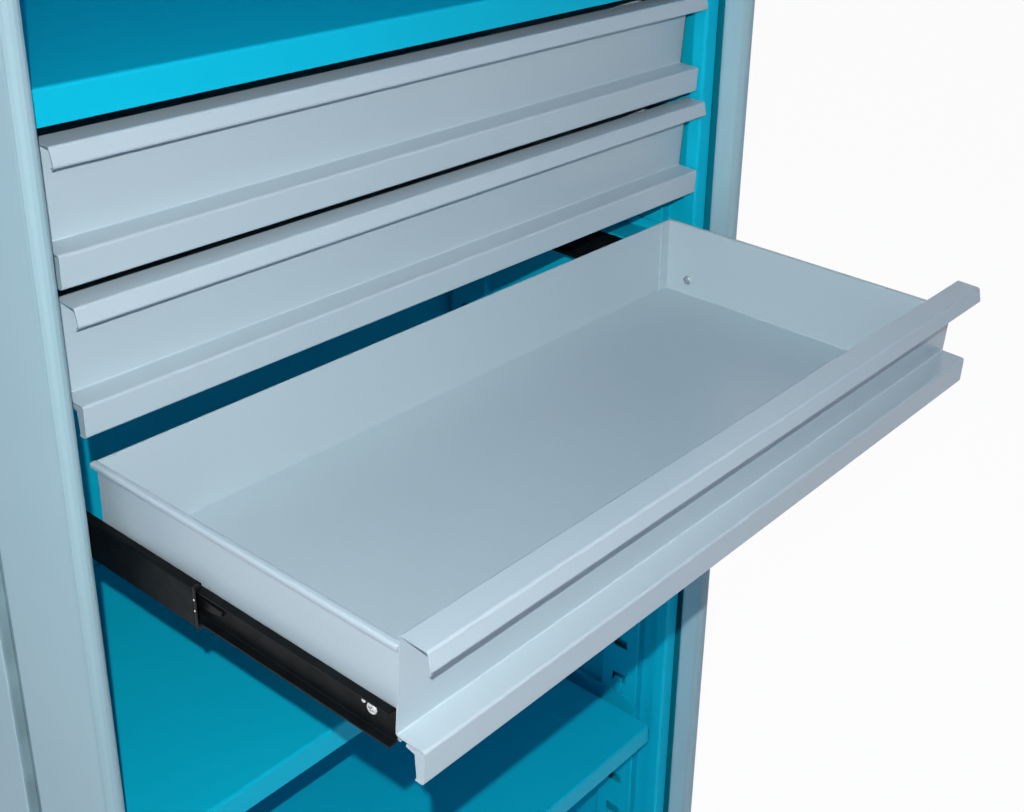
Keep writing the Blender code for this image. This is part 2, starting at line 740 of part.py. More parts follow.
def main():
    clear_scene()
    grey = surface("grey_body_paint", (0.42, 0.53, 0.58), 0.45)
    paint = surface("grey_drawer_paint", (0.45, 0.56, 0.62), 0.38)
    colour = surface("turquoise_paint", (0.0, 0.36, 0.53), 0.42)
    black = surface("black_runner_steel", (0.012, 0.013, 0.016), 0.35, 0.6)
    zinc = surface("zinc_screw_steel", (0.65, 0.66, 0.68), 0.25, 1.0)
    for label, side, flange in (("left", -1, LEFT_FLANGE_WIDTH), ("right", 1, RIGHT_FLANGE_WIDTH)):
        pillar(f"{label}_pillar", side, grey)
        side_panel(f"{label}_side_panel", side, grey)
        side_liner(f"{label}_liner", side, flange, colour)
        upright(f"{label}_front_upright", side, FRONT_UPRIGHT_Y, colour)
        upright(f"{label}_rear_upright", side, REAR_UPRIGHT_Y, colour)
    back_skins(grey, colour)
    roof(grey)
    deck_and_ceiling(colour)
    plinths(grey)
    for name, top in (
        ("upper_shelf", UPPER_SHELF_TOP),
        ("middle_shelf", MIDDLE_SHELF_TOP),
        ("lower_shelf", LOWER_SHELF_TOP),
    ):
        shelf(name, top, colour)
    drawers(paint, black, zinc, colour)


main()
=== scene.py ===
"""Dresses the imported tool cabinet: paints, runner details, screws, shelf hooks, light and camera."""

import json
import math

import bmesh
import bpy
from bpy.props import FloatProperty, FloatVectorProperty, IntProperty, PointerProperty
from mathutils import Matrix, Vector


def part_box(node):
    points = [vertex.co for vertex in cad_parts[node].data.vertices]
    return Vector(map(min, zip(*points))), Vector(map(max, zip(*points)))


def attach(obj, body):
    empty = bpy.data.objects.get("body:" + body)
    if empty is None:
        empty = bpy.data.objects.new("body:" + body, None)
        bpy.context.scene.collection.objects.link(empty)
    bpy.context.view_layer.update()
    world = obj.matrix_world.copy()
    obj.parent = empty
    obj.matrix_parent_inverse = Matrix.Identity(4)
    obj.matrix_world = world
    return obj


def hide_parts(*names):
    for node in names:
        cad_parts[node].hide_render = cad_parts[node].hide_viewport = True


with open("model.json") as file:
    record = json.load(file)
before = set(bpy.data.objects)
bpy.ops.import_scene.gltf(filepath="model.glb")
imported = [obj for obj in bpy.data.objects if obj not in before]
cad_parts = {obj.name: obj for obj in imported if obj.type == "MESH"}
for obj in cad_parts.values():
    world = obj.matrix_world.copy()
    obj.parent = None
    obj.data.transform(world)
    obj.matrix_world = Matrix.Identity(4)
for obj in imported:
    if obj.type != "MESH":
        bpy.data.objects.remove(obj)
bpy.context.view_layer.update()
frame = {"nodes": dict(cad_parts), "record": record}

bl_info = {
    "name": "Tool cabinet dressing",
    "version": (1, 0, 0),
    "blender": (4, 5, 0),
    "location": "3D View > Sidebar > Tool cabinet",
    "description": "Paints, runner details, screws and shelf hooks for the packed tool cabinet",
    "category": "Object",
}

DRAWERS = (1, 2, 3)
SIDES = (("left", -1), ("right", 1))
SHELVES = ("upper_shelf", "middle_shelf", "lower_shelf")
NODE_SLOTS = {part["node"]: part["material_slot"] for part in frame["record"]["subparts"]}

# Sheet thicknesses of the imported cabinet
RUNNER_STEEL = 0.0012
TRAY_STEEL = 0.0010

# How far the edges of levers, stops and hooks are rounded
SOFT_EDGE = 0.0004

# Faces whose normal has more than this share along an axis look along it
SQUARE_ON = 0.9

# Edges that are longer than this run along a part, and not across it
LONG_EDGE = 0.01

# A noise's values lie mostly between these two
NOISE_SPREAD = (0.3, 0.7)

# The camera's sensor in millimetres, and the least distance that it sees
SENSOR_WIDTH = 36
NEAREST = 0.01

# The floor lies a little below the cabinet's feet
FLOOR_SIZE = 14
FLOOR_GAP = 0.0005

# Where the soft lamps stand. The power of each is a value of the studio
SOFT_LAMPS = {
    "side": (-2.4, -0.7, 1.05),
    "front": (0.3, -2.4, 2.0),
    "top": (-0.9, -1.0, 2.7),
    "right": (1.9, 2.2, 1.5),
    "back": (0.2, 3.0, 2.2),
    "roof": (0.0, 1.4, 3.6),
}


def linear(hex_colour):
    """An sRGB hex colour as the linear numbers that the shaders take."""
    values = [int(hex_colour[i : i + 2], 16) / 255 for i in (1, 3, 5)]
    return tuple(v / 12.92 if v <= 0.04045 else ((v + 0.055) / 1.055) ** 2.4 for v in values)


class CabinetSizes(bpy.types.PropertyGroup):
    """Sizes of the small parts that the dressing adds."""

    slot_foot: FloatProperty(
        name="First slot", description="Height of the lowest slot's middle", default=0.1403, unit="LENGTH"
    )
    slot_pitch: FloatProperty(
        name="Slot pitch", description="Distance from slot to slot", default=0.050, unit="LENGTH"
    )
    hook_width: FloatProperty(
        name="Hook width", description="Width of a shelf hook", default=0.012, unit="LENGTH"
    )
    lever_length: FloatProperty(
        name="Lever length", description="Length of a runner's release lever", default=0.042, unit="LENGTH"
    )
    lever_setback: FloatProperty(
        name="Lever setback", description="From the inner member's front to the lever's tip", default=0.1485,
        unit="LENGTH",
    )
    lever_height: FloatProperty(
        name="Lever height", description="Height of the lever's bar", default=0.0064, unit="LENGTH"
    )
    lever_rise: FloatProperty(
        name="Lever rise", description="Lever's place above the member's middle line", default=0.0016,
        unit="LENGTH",
    )
    stop_height: FloatProperty(
        name="Stop height", description="Height of the buffer at a middle member's front",
        default=0.0306, unit="LENGTH",
    )
    stop_depth: FloatProperty(
        name="Stop depth", description="Length of that buffer along the runner", default=0.0030, unit="LENGTH"
    )
    pin_radius: FloatProperty(
        name="Pin radius", description="Radius of the locating pin beside a runner's screw", default=0.0018,
        unit="LENGTH",
    )
    pin_setback: FloatProperty(
        name="Pin setback", description="From the runner's screw back to that pin", default=0.0079,
        unit="LENGTH",
    )
    weld_radius: FloatProperty(
        name="Weld radius", description="Radius of a spot-weld mark in a tray's rear wall", default=0.0021,
        unit="LENGTH",
    )
    ball_radius: FloatProperty(
        name="Ball radius", description="Radius of a ball in the runners", default=0.0008, unit="LENGTH"
    )
    ball_count: IntProperty(name="Balls", description="Balls in one row", default=16, min=2, max=40)
    recess: FloatProperty(
        name="Screw recess", description="Span of the cross in a screw head", default=0.0044, unit="LENGTH"
    )


class CabinetPaints(bpy.types.PropertyGroup):
    """Colours of the paints and metals."""

    shell: FloatVectorProperty(
        name="Shell", description="Blue-grey powder coat of the outside", subtype="COLOR",
        default=linear("#ABCDD5"), min=0, max=1,
    )
    drawers: FloatVectorProperty(
        name="Drawers", description="Pale blue-grey powder coat of the drawers", subtype="COLOR",
        default=linear("#B6C8CE"), min=0, max=1,
    )
    inside: FloatVectorProperty(
        name="Inside", description="Turquoise powder coat of the inside", subtype="COLOR",
        default=linear("#08BFDC"), min=0, max=1,
    )
    runners: FloatVectorProperty(
        name="Runners", description="Black coat of the telescopic runners", subtype="COLOR",
        default=linear("#0B0D0F"), min=0, max=1,
    )
    zinc: FloatVectorProperty(
        name="Zinc", description="Bright zinc of screws and balls", subtype="COLOR",
        default=linear("#DADDE0"), min=0, max=1,
    )
    levers: FloatVectorProperty(
        name="Levers", description="Black plastic of the release levers", subtype="COLOR",
        default=linear("#0B0C0E"), min=0, max=1,
    )


class CabinetStudio(bpy.types.PropertyGroup):
    """Camera, lamps and floor."""

    camera_place: FloatVectorProperty(
        name="Camera", description="Where the camera stands", subtype="TRANSLATION", unit="LENGTH",
        default=(-0.7365, -0.7687, 1.5762),
    )
    yaw: FloatProperty(
        name="Yaw", description="Turn of the view to the right", subtype="ANGLE", default=math.radians(54.230)
    )
    pitch: FloatProperty(
        name="Pitch", description="Tilt of the view below the horizon", subtype="ANGLE",
        default=math.radians(23.617),
    )
    roll: FloatProperty(name="Roll", description="Lean of the camera", subtype="ANGLE", default=0.0581)
    focal_length: FloatProperty(
        name="Focal length", description="Of the lens, on a 36 mm wide sensor", subtype="DISTANCE_CAMERA",
        default=49.556,
    )
    lens_shift: FloatVectorProperty(
        name="Lens shift", description="Shift of the lens to the right and up, in picture widths",
        size=2, default=(-0.1494, -0.1121),
    )
    key_rise: FloatProperty(
        name="Key rise", description="Key lamp's place above the lens", default=0.0467, unit="LENGTH"
    )
    key_left: FloatProperty(
        name="Key left", description="Key lamp's place to the left of the lens", default=0.0175, unit="LENGTH"
    )
    key_aim: FloatVectorProperty(
        name="Key aim", description="Point at the middle of the key lamp's beam", subtype="TRANSLATION",
        unit="LENGTH", default=(-0.22, -0.26, 0.98),
    )
    key_beam: FloatProperty(
        name="Key beam", description="Width of the key lamp's beam", subtype="ANGLE",
        default=math.radians(112),
    )
    key_power: FloatProperty(name="Key power", description="Power of the key lamp", default=37.0, min=0)
    key_evenness: FloatProperty(
        name="Key evenness", description="Share of its light that falls off with distance, not its square",
        default=0.45, min=0, max=1,
    )
    key_size: FloatProperty(
        name="Key size", description="Radius of the key lamp", default=0.004, unit="LENGTH"
    )
    side_power: FloatProperty(
        name="Side power", description="Power of the soft lamp on the left", default=8.0, min=0
    )
    front_power: FloatProperty(
        name="Front power", description="Power of the soft lamp in front", default=5.0, min=0
    )
    top_power: FloatProperty(name="Top power", description="Power of the soft lamp above", default=3.2, min=0)
    right_power: FloatProperty(
        name="Right power", description="Power of the soft lamp behind the right side", default=5.5, min=0
    )
    back_power: FloatProperty(
        name="Back power", description="Power of the soft lamp behind the cabinet", default=30.0, min=0
    )
    roof_power: FloatProperty(
        name="Roof power", description="Power of the soft lamp over the roof", default=14.0, min=0
    )
    soft_size: FloatProperty(name="Soft size", description="Side of a soft lamp", default=1.6, unit="LENGTH")
    aim_height: FloatProperty(
        name="Aim height", description="Height that the soft lamps point at", default=1.0, unit="LENGTH"
    )
    room_light: FloatProperty(
        name="Room light", description="Strength of the room's light", default=0.15, min=0
    )
    room_colour: FloatVectorProperty(
        name="Room", description="Colour of the room's light", subtype="COLOR",
        default=linear("#88ABFF"), min=0, max=1,
    )
    floor_colour: FloatVectorProperty(
        name="Floor", description="Colour of the floor", subtype="COLOR",
        default=linear("#F2F3F3"), min=0, max=1,
    )
    floor_glow: FloatProperty(
        name="Floor glow", description="Share of plain white in the floor where it is seen",
        default=0.96, min=0, max=1,
    )


def sizes():
    return bpy.context.scene.cabinet_sizes


def paints():
    return bpy.context.scene.cabinet_paints


def studio():
    return bpy.context.scene.cabinet_studio


# Materials


def add_node(tree, kind, inputs=None, **settings):
    """Adds a shader node. Inputs may be values or other nodes' output sockets."""
    node = tree.nodes.new("ShaderNode" + kind)
    for key, value in settings.items():
        setattr(node, key, value)
    for key, value in (inputs or {}).items():
        if isinstance(value, bpy.types.NodeSocket):
            tree.links.new(value, node.inputs[key])
        else:
            node.inputs[key].default_value = value
    return node


def start_material(name, colour, metallic=0.0, **sockets):
    """A named material with its Principled shader, its tree and its Object coordinates."""
    material = bpy.data.materials.new(name)
    material.use_nodes = True
    tree = material.node_tree
    shader = tree.nodes["Principled BSDF"]
    shader.inputs["Metallic"].default_value = metallic
    for key, value in sockets.items():
        shader.inputs[key.replace("_", " ")].default_value = value
    material.diffuse_color = (*colour, 1.0)
    place = add_node(tree, "TexCoord").outputs["Object"]
    return material, tree, shader, place


def feed(tree, shader, **sockets):
    """Links what the nodes give to the shader's sockets."""
    for key, value in sockets.items():
        tree.links.new(value, shader.inputs[key.replace("_", " ")])


def tint(colour, factor):
    """A colour made darker or lighter, with the alpha that sockets take."""
    return (*[min(1.0, v * factor) for v in colour], 1.0)


def grain_scale(millimetres):
    """The scale of a texture whose features are that many millimetres across."""
    return 1000 / millimetres


def drift(tree, place, millimetres, low, high, detail=2.0):
    """A slow noise, mapped to a range."""
    pattern = {"Vector": place, "Scale": grain_scale(millimetres), "Detail": detail}
    noise = add_node(tree, "TexNoise", pattern).outputs["Fac"]
    usual_low, usual_high = NOISE_SPREAD
    ranges = {"From Min": usual_low, "From Max": usual_high, "To Min": low, "To Max": high}
    return add_node(tree, "MapRange", {"Value": noise, **ranges}).outputs["Result"]


def between(tree, value, low, high):
    """1 where the value lies between two bounds, 0 elsewhere."""
    above = add_node(tree, "Math", {0: value, 1: low}, operation="GREATER_THAN").outputs[0]
    below = add_node(tree, "Math", {0: value, 1: high}, operation="LESS_THAN").outputs[0]
    return add_node(tree, "Math", {0: above, 1: below}, operation="MULTIPLY").outputs[0]


def post_shade_and_dust(tree, place, tone, colour):
    """Adds what differs on the posts: painted shade with some dust in the grooves, painted shade and
    turquoise reflection in the hollows, and painted shade along the noses.
    """
    post_low, post_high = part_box("right_pillar")
    panel_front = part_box("left_side_panel")[0].y
    axes = add_node(tree, "SeparateXYZ", {"Vector": place}).outputs

    # Painted shade, with some dust: the groove between each post and its side panel is painted darker,
    # unevenly
    groove_width, panel_edge, dust_and_shade_mm = 0.0195, 0.0008, 30
    groove = between(tree, axes["Y"], panel_front - groove_width, panel_front + panel_edge)
    dust_and_shade = drift(tree, place, dust_and_shade_mm, low=0.62, high=0.9, detail=4.0)
    share = add_node(tree, "Math", {0: groove, 1: dust_and_shade}, operation="MULTIPLY").outputs[0]
    shaded_dusty_groove = {"Factor": share, "A": tone, "B": tint(colour, 0.42)}
    tone = add_node(tree, "Mix", shaded_dusty_groove, data_type="RGBA").outputs["Result"]

    # Painted shade and painted turquoise reflection: inside both hollow posts, between the walls of the post,
    # the paint is the liner's turquoise at half brightness
    inner_wall, nose_depth, foot_spare = 0.0014, 0.012, 0.001
    outer_wall, rear_depth, top_spare = 0.0009, 0.021, 0.0001
    low = post_low + Vector((inner_wall, nose_depth, -foot_spare))
    high = Vector((post_high.x - outer_wall, panel_front - rear_depth, post_high.z + top_spare))
    off_middle = add_node(tree, "Math", {0: axes["X"]}, operation="ABSOLUTE").outputs[0]
    across = between(tree, off_middle, low.x, high.x)
    along = between(tree, axes["Y"], low.y, high.y)
    upward = between(tree, axes["Z"], low.z, high.z)
    level = add_node(tree, "Math", {0: across, 1: along}, operation="MULTIPLY").outputs[0]
    hollow = add_node(tree, "Math", {0: level, 1: upward}, operation="MULTIPLY").outputs[0]
    painted_hollow_shade = {"Factor": hollow, "A": tone, "B": tint(tuple(paints().inside), 0.5)}
    tone = add_node(tree, "Mix", painted_hollow_shade, data_type="RGBA").outputs["Result"]

    # Painted shade along the noses of the posts: the paint is darker there, and less and less behind them
    shade_full_depth, shade_end_depth = 0.003, 0.0085
    reach = {"From Min": post_low.y + shade_full_depth, "From Max": post_low.y + shade_end_depth}
    unshaded = add_node(
        tree, "MapRange", {"Value": axes["Y"], **reach}, interpolation_type="SMOOTHSTEP"
    ).outputs["Result"]
    painted_nose_shade = {"Factor": unshaded, "A": tint(colour, 0.79), "B": tone}
    return add_node(tree, "Mix", painted_nose_shade, data_type="RGBA").outputs["Result"]


def powder_coat(name, colour, roughness, clear_coat, specular, marks=None):
    """Polyester powder coat on steel: satin, a little cloudy, with the fine dimples of orange peel.

    The peel of the real paint is about 1 mm across. It is drawn at 1.8 mm so that it shows."""
    material, tree, shader, place = start_material(
        name, colour, Coat_Weight=clear_coat, Coat_Roughness=0.10, Specular_IOR_Level=specular
    )
    cloud_mm, speck_mm, peel_mm, ripple_mm, wear_mm = 260, 2.4, 1.8, 1.4, 55
    cloud = drift(tree, place, cloud_mm, low=0.0, high=1.0)
    cloudy = {"Factor": cloud, "A": tint(colour, 0.975), "B": tint(colour, 1.02)}
    tone = add_node(tree, "Mix", cloudy, data_type="RGBA").outputs["Result"]
    # Painted glints: each speck of the powder is painted lighter, most at its middle
    specks = {"Vector": place, "Scale": grain_scale(speck_mm), "Randomness": 1.0}
    from_middle = add_node(tree, "TexVoronoi", specks).outputs["Distance"]
    speck_edge, strongest = 0.16, 0.35
    fade = {"From Min": 0.0, "From Max": speck_edge, "To Min": strongest, "To Max": 0.0}
    painted_glint = add_node(tree, "MapRange", {"Value": from_middle, **fade}).outputs["Result"]
    painted_glints = {"Factor": painted_glint, "A": tone, "B": tint(colour, 1.35)}
    tone = add_node(tree, "Mix", painted_glints, data_type="RGBA").outputs["Result"]
    if marks:
        tone = marks(tree, place, tone, colour)
    dimples = {"Vector": place, "Scale": grain_scale(peel_mm), "Detail": 3.0, "Roughness": 0.55}
    peel = add_node(tree, "TexNoise", dimples).outputs["Fac"]
    relief = {"Height": peel, "Strength": 0.10, "Distance": 0.0004}
    # The clear top of the paint is livelier than its body and sparkles where a lamp strikes it
    waves = {"Vector": place, "Scale": grain_scale(ripple_mm), "Detail": 2.0, "Roughness": 0.6}
    ripple = add_node(tree, "TexNoise", waves).outputs["Fac"]
    sparkle = {"Height": ripple, "Strength": 0.45, "Distance": 0.0006}
    feed(
        tree, shader, Base_Color=tone,
        Roughness=drift(tree, place, wear_mm, low=roughness - 0.03, high=roughness + 0.04),
        Normal=add_node(tree, "Bump", relief).outputs["Normal"],
        Coat_Normal=add_node(tree, "Bump", sparkle).outputs["Normal"],
    )
    return material


def black_runner_coat():
    """Cold-rolled steel with a black electrophoretic coat: semi-gloss, with faint rolling lines."""
    colour, smeared = tuple(paints().runners), linear("#131719")
    material, tree, shader, place = start_material(
        "black_coated_runner_steel", colour, Specular_IOR_Level=0.07
    )
    line_mm, smear_mm, wear_mm = 1.2, 18, 12
    smear = drift(tree, place, smear_mm, low=0.0, high=1.0, detail=4.0)
    tones = {"Factor": smear, "A": (*colour, 1.0), "B": (*smeared, 1.0)}
    along_runner = {"Vector": place, "Scale": (1.0, 0.04, 1.0)}
    stretched = add_node(tree, "Mapping", along_runner).outputs["Vector"]
    rolled = {"Vector": stretched, "Scale": grain_scale(line_mm), "Detail": 3.0}
    lines = add_node(tree, "TexNoise", rolled).outputs["Fac"]
    relief = {"Height": lines, "Strength": 0.15, "Distance": 0.0002}
    feed(
        tree, shader,
        Base_Color=add_node(tree, "Mix", tones, data_type="RGBA").outputs["Result"],
        Roughness=drift(tree, place, wear_mm, low=0.36, high=0.52, detail=3.0),
        Normal=add_node(tree, "Bump", relief).outputs["Normal"],
    )
    return material


def bright_zinc():
    """Zinc-plated steel: a bright, slightly uneven metal."""
    colour = tuple(paints().zinc)
    material, tree, shader, place = start_material("bright_zinc_plated_steel", colour, metallic=1.0)
    cloud_mm, wear_mm = 1.6, 2.5
    cloud = drift(tree, place, cloud_mm, low=0.0, high=1.0, detail=3.0)
    tones = {"Factor": cloud, "A": tint(colour, 0.78), "B": tint(colour, 1.08)}
    feed(
        tree, shader,
        Base_Color=add_node(tree, "Mix", tones, data_type="RGBA").outputs["Result"],
        Roughness=drift(tree, place, wear_mm, low=0.18, high=0.34),
    )
    return material


def black_acetal():
    """Moulded acetal, a black engineering plastic: matt with a soft sheen and fine spark-eroded grain."""
    colour = tuple(paints().levers)
    material, tree, shader, place = start_material("black_moulded_acetal", colour, Specular_IOR_Level=0.2)
    grain_mm, wear_mm = 0.5, 6
    fine = {"Vector": place, "Scale": grain_scale(grain_mm), "Detail": 2.0}
    grain = add_node(tree, "TexNoise", fine).outputs["Fac"]
    tones = {"Factor": grain, "A": tint(colour, 0.8), "B": tint(colour, 1.3)}
    relief = {"Height": grain, "Strength": 0.2, "Distance": 0.0001}
    feed(
        tree, shader,
        Base_Color=add_node(tree, "Mix", tones, data_type="RGBA").outputs["Result"],
        Roughness=drift(tree, place, wear_mm, low=0.42, high=0.55),
        Normal=add_node(tree, "Bump", relief).outputs["Normal"],
    )
    return material


def finish(name):
    """The named finish, made the first time it is asked for."""
    made = bpy.data.materials.get(name)
    if made:
        return made
    colours = paints()
    makers = {
        "powder_coat_blue_grey": lambda: powder_coat(
            name, tuple(colours.shell), roughness=0.42, clear_coat=0.06, specular=0.2, marks=post_shade_and_dust
        ),
        "powder_coat_pale_grey": lambda: powder_coat(
            name, tuple(colours.drawers), roughness=0.36, clear_coat=0.35, specular=0.2
        ),
        "powder_coat_turquoise": lambda: powder_coat(
            name, tuple(colours.inside), roughness=0.42, clear_coat=0.0, specular=0.1
        ),
        "black_coated_runner_steel": black_runner_coat,
        "bright_zinc_plated_steel": bright_zinc,
        "black_moulded_acetal": black_acetal,
    }
    return makers[name]()


def paint_nodes(slot, finish_name):
    """Gives every CAD node of one material slot its finish."""
    for node, node_slot in NODE_SLOTS.items():
        if node_slot == slot:
            mesh = frame["nodes"][node].data
            if not mesh.materials:
                mesh.materials.append(None)
            for index in range(len(mesh.materials)):
                mesh.materials[index] = finish(finish_name)


# Modelling by operators


def only(piece):
    """Makes one piece the only selected and the active one."""
    if bpy.context.object and bpy.context.object.mode != "OBJECT":
        bpy.ops.object.mode_set(mode="OBJECT")
    bpy.ops.object.select_all(action="DESELECT")
    if piece:
        piece.select_set(True)
        bpy.context.view_layer.objects.active = piece


def named(name):
    """Names the piece that a primitive operator has just made and puts its place into its mesh."""
    piece = bpy.context.object
    piece.name = piece.data.name = name
    bpy.ops.object.transform_apply(location=True, rotation=True, scale=True)
    return piece


def block(name, low, high):
    """A box between two corners."""
    only(None)
    low, high = Vector(low), Vector(high)
    bpy.ops.mesh.primitive_cube_add(size=1, location=(low + high) / 2, scale=high - low)
    return named(name)


def edit(piece, mode, chosen):
    """Opens a piece in edit mode with the chosen edges or faces selected."""
    only(piece)
    bpy.ops.object.mode_set(mode="EDIT")
    bpy.ops.mesh.select_mode(type=mode)
    bpy.ops.mesh.select_all(action="DESELECT")
    shape = bmesh.from_edit_mesh(piece.data)
    for part in {"EDGE": shape.edges, "FACE": shape.faces}[mode]:
        if chosen(part):
            part.select_set(True)
    shape.select_flush_mode()
    bmesh.update_edit_mesh(piece.data)


def close_edit():
    bpy.ops.object.mode_set(mode="OBJECT")


def modified(piece, kind, **settings):
    """Adds one modifier and applies it."""
    only(piece)
    modifier = piece.modifiers.new(kind.lower(), kind)
    for key, value in settings.items():
        setattr(modifier, key, value)
    bpy.ops.object.modifier_apply(modifier=modifier.name)


def smoothed(piece, degrees):
    """Shades a piece smooth, apart from edges that are sharper than the angle."""
    only(piece)
    bpy.ops.object.shade_smooth_by_angle(angle=math.radians(degrees))
    return piece


def rounded(piece, width):
    """Rounds a piece's sharp edges."""
    modified(
        piece, "BEVEL", width=width, segments=2, limit_method="ANGLE", angle_limit=math.radians(30)
    )
    return smoothed(piece, degrees=40)


def facing(axis, way=1):
    """Chooses the faces that look along an axis, or against it where the way is -1."""
    return lambda face: getattr(face.normal, axis) * way > SQUARE_ON


def long_along(axis):
    """Chooses the long edges that run along an axis."""
    return lambda edge: abs(getattr(edge.verts[0].co - edge.verts[1].co, axis)) > LONG_EDGE


def extrude(offset):
    """Pulls the chosen faces of an open piece out."""
    bpy.ops.mesh.extrude_region_move(TRANSFORM_OT_translate={"value": offset})


def disc(name, place, radius, depth, vertices=24, axis="X"):
    """A short cylinder along an axis, with its middle at the given place."""
    only(None)
    turn = {"X": (0, math.pi / 2, 0), "Y": (math.pi / 2, 0, 0)}[axis]
    bpy.ops.mesh.primitive_cylinder_add(
        vertices=vertices, radius=radius, depth=depth, rotation=turn, location=place
    )
    return named(name)


def domed(name, place, radius, rise):
    """A low round head that stands out to the left of a face at the given place."""
    x, y, z = place
    head = disc(name, (x - rise / 2, y, z), radius, depth=rise, vertices=20)
    edit(head, "FACE", facing("x", -1))
    bpy.ops.mesh.bevel(offset=rise * 0.8, segments=4, profile=0.5)
    close_edit()
    return smoothed(head, degrees=50)


def joined(pieces):
    """Joins pieces into the first of them."""
    only(None)
    for piece in pieces:
        piece.select_set(True)
    bpy.context.view_layer.objects.active = pieces[0]
    bpy.ops.object.join()
    return pieces[0]


def copied(piece, name, matrix):
    """A copy with its own mesh, moved or mirrored by a matrix that goes into the mesh."""
    twin = piece.copy()
    twin.data = piece.data.copy()
    twin.name = twin.data.name = name
    bpy.context.scene.collection.objects.link(twin)
    twin.data.transform(matrix)
    if matrix.determinant() < 0:
        twin.data.flip_normals()
    return twin


def dressed(piece, body, finish_name):
    """Gives a finished piece its material and the body that it rides on."""
    piece.data.materials.clear()
    piece.data.materials.append(finish(finish_name))
    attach(piece, body)


def runner_mirror():
    """Turns a left-hand runner's parts into right-hand ones."""
    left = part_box("drawer_1_left_runner_outer")[0].x
    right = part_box("drawer_1_right_runner_outer")[1].x
    return Matrix.Translation((left + right, 0, 0)) @ Matrix.Scale(-1, 4, (1, 0, 0))


def carry(pattern, first, finish_name, body, reference):
    """Copies a part of drawer 1's left runner to the other five runners.

    The reference node is the runner member that the part sits in, which gives each copy's place."""
    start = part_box(f"drawer_1_left_{reference}")[0]
    for number in DRAWERS:
        for word, side in SIDES:
            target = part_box(f"drawer_{number}_{word}_{reference}")[0]
            shift = Matrix.Translation((0, target.y - start.y, target.z - start.z))
            matrix = shift @ (runner_mirror() if side > 0 else Matrix.Identity(4))
            name = pattern.format(number=number, side=word)
            dressed(copied(first, name, matrix), body.format(number=number), finish_name)
    bpy.data.objects.remove(first, do_unlink=True)


class CABINET_OT_paint_shell(bpy.types.Operator):
    """Paint the outer shell blue-grey."""

    bl_idname = "cabinet.paint_shell"
    bl_label = "Paint the shell"

    def execute(self, context):
        paint_nodes("body_paint", "powder_coat_blue_grey")
        return {"FINISHED"}


class CABINET_OT_paint_drawers(bpy.types.Operator):
    """Paint the drawer fronts and trays pale grey."""

    bl_idname = "cabinet.paint_drawers"
    bl_label = "Paint the drawers"

    def execute(self, context):
        paint_nodes("drawer_paint", "powder_coat_pale_grey")
        return {"FINISHED"}


class CABINET_OT_paint_inside(bpy.types.Operator):
    """Paint the liners, uprights, shelves and brackets turquoise."""

    bl_idname = "cabinet.paint_inside"
    bl_label = "Paint the inside"

    def execute(self, context):
        paint_nodes("inner_paint", "powder_coat_turquoise")
        return {"FINISHED"}


class CABINET_OT_coat_runners(bpy.types.Operator):
    """Coat the telescopic runners black and plate their screws."""

    bl_idname = "cabinet.coat_runners"
    bl_label = "Coat the runners"

    def execute(self, context):
        paint_nodes("runner_steel", "black_coated_runner_steel")
        paint_nodes("screw_steel", "bright_zinc_plated_steel")
        return {"FINISHED"}


class CABINET_OT_fit_levers(bpy.types.Operator):
    """Fit the plastic release levers that lie in the inner runner members."""

    bl_idname = "cabinet.fit_levers"
    bl_label = "Fit the release levers"

    def execute(self, context):
        values = sizes()
        low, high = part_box("drawer_1_left_runner_inner")
        web = high.x - RUNNER_STEEL
        middle = (low.z + high.z) / 2 + values.lever_rise
        start = low.y + values.lever_setback
        half = values.lever_height / 2
        face, gap, bowed_face = 0.0028, 0.0002, 0.002
        lever = block(
            "lever",
            (web - face, start, middle - half),
            (web - gap, start + values.lever_length, middle + half),
        )
        edit(lever, "EDGE", long_along("y"))
        bpy.ops.mesh.subdivide(number_cuts=8)
        close_edit()
        # The bar narrows to its tip and bows a little toward the web there
        tip_share, narrowing, bow = 0.3, 0.5, 0.0007
        for vert in lever.data.vertices:
            share = max(0.0, 1 - (vert.co.y - start) / (values.lever_length * tip_share)) ** 2
            vert.co.z = middle + (vert.co.z - middle) * (1 - narrowing * share)
            vert.co.x += bow * share if vert.co.x < web - bowed_face else 0.0
        rim, hollow = 0.0010, 0.0006
        edit(lever, "FACE", facing("x", -1))
        bpy.ops.mesh.inset(thickness=rim, depth=-hollow)
        close_edit()
        rounded(lever, SOFT_EDGE)
        carry(
            "drawer_{number}_{side}_release_lever", lever, "black_moulded_acetal",
            "drawer_{number}", "runner_inner",
        )
        return {"FINISHED"}


